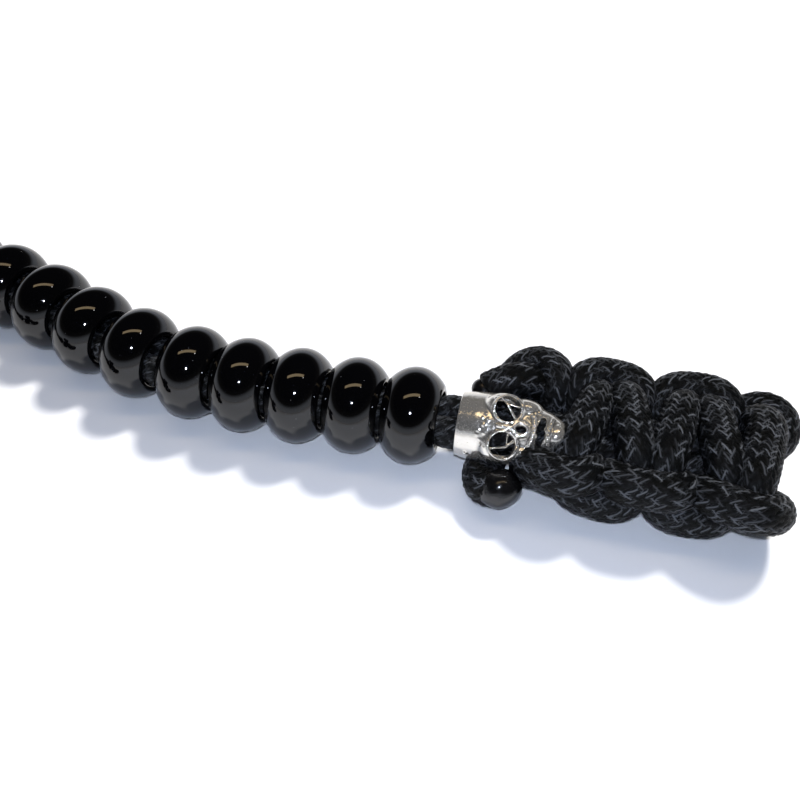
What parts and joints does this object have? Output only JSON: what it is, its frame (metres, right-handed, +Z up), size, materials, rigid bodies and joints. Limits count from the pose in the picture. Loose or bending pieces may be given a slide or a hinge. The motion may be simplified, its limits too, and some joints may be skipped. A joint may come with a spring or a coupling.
{
  "type": "prayer beads",
  "caption": "Strand of glossy oblate prayer beads on a doubled braided cord, with a cast skull bead, a flat cobra-stitch bar and a knotted hanging loop.",
  "frame": {"origin": "middle of the strand's footprint, on the surface it lies on", "axes": "+X along the strand's long direction, from the far bend to the woven bar's end; +Y across it; +Z up"},
  "size_m": [0.2138, 0.0674, 0.014],
  "materials": {
    "glossy_black_bead": "polished near-mirror black",
    "cast_metal": "polished nickel-plated casting, slightly pitted",
    "braided_cord": "braided black nylon sheath with small glints",
    "melted_cord": "melted nylon, smooth and glossy"
  },
  "bodies": {
    "root": {"cord_run_near": "braided_cord", "cord_run_far": "braided_cord", "weave_front_strand": "braided_cord", "weave_back_strand": "braided_cord", "front_melted_end": "melted_cord", "back_melted_end": "melted_cord", "stopper_knot": "braided_cord", "hanging_loop": "braided_cord"},
    "skull": {"skull_bead": "cast_metal"},
    "bead_01": {"bead_01": "glossy_black_bead"},
    "bead_02": {"bead_02": "glossy_black_bead"},
    "bead_03": {"bead_03": "glossy_black_bead"},
    "bead_04": {"bead_04": "glossy_black_bead"},
    "bead_05": {"bead_05": "glossy_black_bead"},
    "bead_06": {"bead_06": "glossy_black_bead"},
    "bead_07": {"bead_07": "glossy_black_bead"},
    "bead_08": {"bead_08": "glossy_black_bead"},
    "bead_09": {"bead_09": "glossy_black_bead"},
    "bead_10": {"bead_10": "glossy_black_bead"},
    "bead_11": {"bead_11": "glossy_black_bead"},
    "bead_12": {"bead_12": "glossy_black_bead"},
    "bead_13": {"bead_13": "glossy_black_bead"},
    "bead_14": {"bead_14": "glossy_black_bead"},
    "bead_15": {"bead_15": "glossy_black_bead"},
    "bead_16": {"bead_16": "glossy_black_bead"},
    "bead_17": {"bead_17": "glossy_black_bead"},
    "bead_18": {"bead_18": "glossy_black_bead"},
    "bead_19": {"bead_19": "glossy_black_bead"},
    "bead_20": {"bead_20": "glossy_black_bead"},
    "bead_21": {"bead_21": "glossy_black_bead"},
    "bead_22": {"bead_22": "glossy_black_bead"},
    "bead_23": {"bead_23": "glossy_black_bead"},
    "bead_24": {"bead_24": "glossy_black_bead"},
    "bead_25": {"bead_25": "glossy_black_bead"},
    "bead_26": {"bead_26": "glossy_black_bead"},
    "bead_27": {"bead_27": "glossy_black_bead"},
    "bead_28": {"bead_28": "glossy_black_bead"},
    "bead_29": {"bead_29": "glossy_black_bead"},
    "bead_30": {"bead_30": "glossy_black_bead"},
    "bead_31": {"bead_31": "glossy_black_bead"},
    "bead_32": {"bead_32": "glossy_black_bead"},
    "bead_33": {"bead_33": "glossy_black_bead"}
  },
  "joints": [
    {"name": "skull_turn", "type": "hinge", "parent": "root", "child": "skull", "pos_m": [0.06545, -0.00945, 0.00602], "axis": [0.9728, -0.2317, 0], "range_deg": [-30, 0]},
    {"name": "bead_01_spin", "type": "hinge", "parent": "root", "child": "bead_01", "pos_m": [0.0601, -0.00818, 0.00602], "axis": [-0.9723, 0.2339, 0], "continuous": true},
    {"name": "bead_02_spin", "type": "hinge", "parent": "root", "child": "bead_02", "pos_m": [0.05305, -0.00647, 0.00602], "axis": [-0.9718, 0.2358, 0], "continuous": true},
    {"name": "bead_03_spin", "type": "hinge", "parent": "root", "child": "bead_03", "pos_m": [0.04601, -0.00475, 0.00602], "axis": [-0.9685, 0.2488, 0], "continuous": true},
    {"name": "bead_04_spin", "type": "hinge", "parent": "root", "child": "bead_04", "pos_m": [0.03901, -0.00285, 0.00602], "axis": [-0.9561, 0.2929, 0], "continuous": true},
    {"name": "bead_05_spin", "type": "hinge", "parent": "root", "child": "bead_05", "pos_m": [0.03214, -0.00054, 0.00602], "axis": [-0.9288, 0.3705, 0], "continuous": true},
    {"name": "bead_06_spin", "type": "hinge", "parent": "root", "child": "bead_06", "pos_m": [0.02455, 0.00316, 0.00602], "axis": [-0.8725, 0.4887, 0], "continuous": true},
    {"name": "bead_07_spin", "type": "hinge", "parent": "root", "child": "bead_07", "pos_m": [0.01741, 0.00768, 0.00602], "axis": [-0.8278, 0.5611, 0], "continuous": true},
    {"name": "bead_08_spin", "type": "hinge", "parent": "root", "child": "bead_08", "pos_m": [0.01056, 0.01261, 0.00602], "axis": [-0.8243, 0.5662, 0], "continuous": true},
    {"name": "bead_09_spin", "type": "hinge", "parent": "root", "child": "bead_09", "pos_m": [0.00346, 0.01721, 0.00602], "axis": [-0.8597, 0.5108, 0], "continuous": true},
    {"name": "bead_10_spin", "type": "hinge", "parent": "root", "child": "bead_10", "pos_m": [-0.00392, 0.02131, 0.00602], "axis": [-0.8991, 0.4378, 0], "continuous": true},
    {"name": "bead_11_spin", "type": "hinge", "parent": "root", "child": "bead_11", "pos_m": [-0.01177, 0.02443, 0.00602], "axis": [-0.9517, 0.3071, 0], "continuous": true},
    {"name": "bead_12_spin", "type": "hinge", "parent": "root", "child": "bead_12", "pos_m": [-0.01997, 0.02639, 0.00602], "axis": [-0.9882, 0.153, 0], "continuous": true},
    {"name": "bead_13_spin", "type": "hinge", "parent": "root", "child": "bead_13", "pos_m": [-0.02838, 0.02723, 0.00602], "axis": [-0.998, 0.0631, 0], "continuous": true},
    {"name": "bead_14_spin", "type": "hinge", "parent": "root", "child": "bead_14", "pos_m": [-0.03682, 0.02745, 0.00602], "axis": [-1, -0.0093, 0], "continuous": true},
    {"name": "bead_15_spin", "type": "hinge", "parent": "root", "child": "bead_15", "pos_m": [-0.04527, 0.02733, 0.00602], "axis": [-1, -0.0043, 0], "continuous": true},
    {"name": "bead_16_spin", "type": "hinge", "parent": "root", "child": "bead_16", "pos_m": [-0.05372, 0.02732, 0.00602], "axis": [-1, 0, 0], "continuous": true},
    {"name": "bead_17_spin", "type": "hinge", "parent": "root", "child": "bead_17", "pos_m": [-0.06217, 0.02735, 0.00602], "axis": [-0.9998, 0.0221, 0], "continuous": true},
    {"name": "bead_18_spin", "type": "hinge", "parent": "root", "child": "bead_18", "pos_m": [-0.07062, 0.02751, 0.00602], "axis": [-0.9998, -0.0186, 0], "continuous": true},
    {"name": "bead_19_spin", "type": "hinge", "parent": "root", "child": "bead_19", "pos_m": [-0.07902, 0.02667, 0.00602], "axis": [-0.9848, -0.1738, 0], "continuous": true},
    {"name": "bead_20_spin", "type": "hinge", "parent": "root", "child": "bead_20", "pos_m": [-0.08696, 0.0239, 0.00602], "axis": [-0.8766, -0.4812, 0], "continuous": true},
    {"name": "bead_21_spin", "type": "hinge", "parent": "root", "child": "bead_21", "pos_m": [-0.09363, 0.01877, 0.00602], "axis": [-0.6787, -0.7344, 0], "continuous": true},
    {"name": "bead_22_spin", "type": "hinge", "parent": "root", "child": "bead_22", "pos_m": [-0.0983, 0.01177, 0.00602], "axis": [-0.4244, -0.9055, 0], "continuous": true},
    {"name": "bead_23_spin", "type": "hinge", "parent": "root", "child": "bead_23", "pos_m": [-0.10067, 0.00369, 0.00602], "axis": [-0.1348, -0.9909, 0], "continuous": true},
    {"name": "bead_24_spin", "type": "hinge", "parent": "root", "child": "bead_24", "pos_m": [-0.10039, -0.00471, 0.00602], "axis": [0.1948, -0.9808, 0], "continuous": true},
    {"name": "bead_25_spin", "type": "hinge", "parent": "root", "child": "bead_25", "pos_m": [-0.09753, -0.01263, 0.00602], "axis": [0.4778, -0.8785, 0], "continuous": true},
    {"name": "bead_26_spin", "type": "hinge", "parent": "root", "child": "bead_26", "pos_m": [-0.09244, -0.01933, 0.00602], "axis": [0.7312, -0.6822, 0], "continuous": true},
    {"name": "bead_27_spin", "type": "hinge", "parent": "root", "child": "bead_27", "pos_m": [-0.08545, -0.02402, 0.00602], "axis": [0.9038, -0.428, 0], "continuous": true},
    {"name": "bead_28_spin", "type": "hinge", "parent": "root", "child": "bead_28", "pos_m": [-0.07735, -0.02628, 0.00602], "axis": [0.9907, -0.1361, 0], "continuous": true},
    {"name": "bead_29_spin", "type": "hinge", "parent": "root", "child": "bead_29", "pos_m": [-0.06893, -0.02687, 0.00602], "axis": [1, 0.006, 0], "continuous": true},
    {"name": "bead_30_spin", "type": "hinge", "parent": "root", "child": "bead_30", "pos_m": [-0.06048, -0.02668, 0.00602], "axis": [1, 0.0071, 0], "continuous": true},
    {"name": "bead_31_spin", "type": "hinge", "parent": "root", "child": "bead_31", "pos_m": [-0.05203, -0.02668, 0.00602], "axis": [1, 0, 0], "continuous": true},
    {"name": "bead_32_spin", "type": "hinge", "parent": "root", "child": "bead_32", "pos_m": [-0.04358, -0.02668, 0.00602], "axis": [1, 0, 0], "continuous": true},
    {"name": "bead_33_slide", "type": "slide", "parent": "root", "child": "bead_33", "axis": [1, 0, 0], "range_m": [0, 0.0115]}
  ]
}
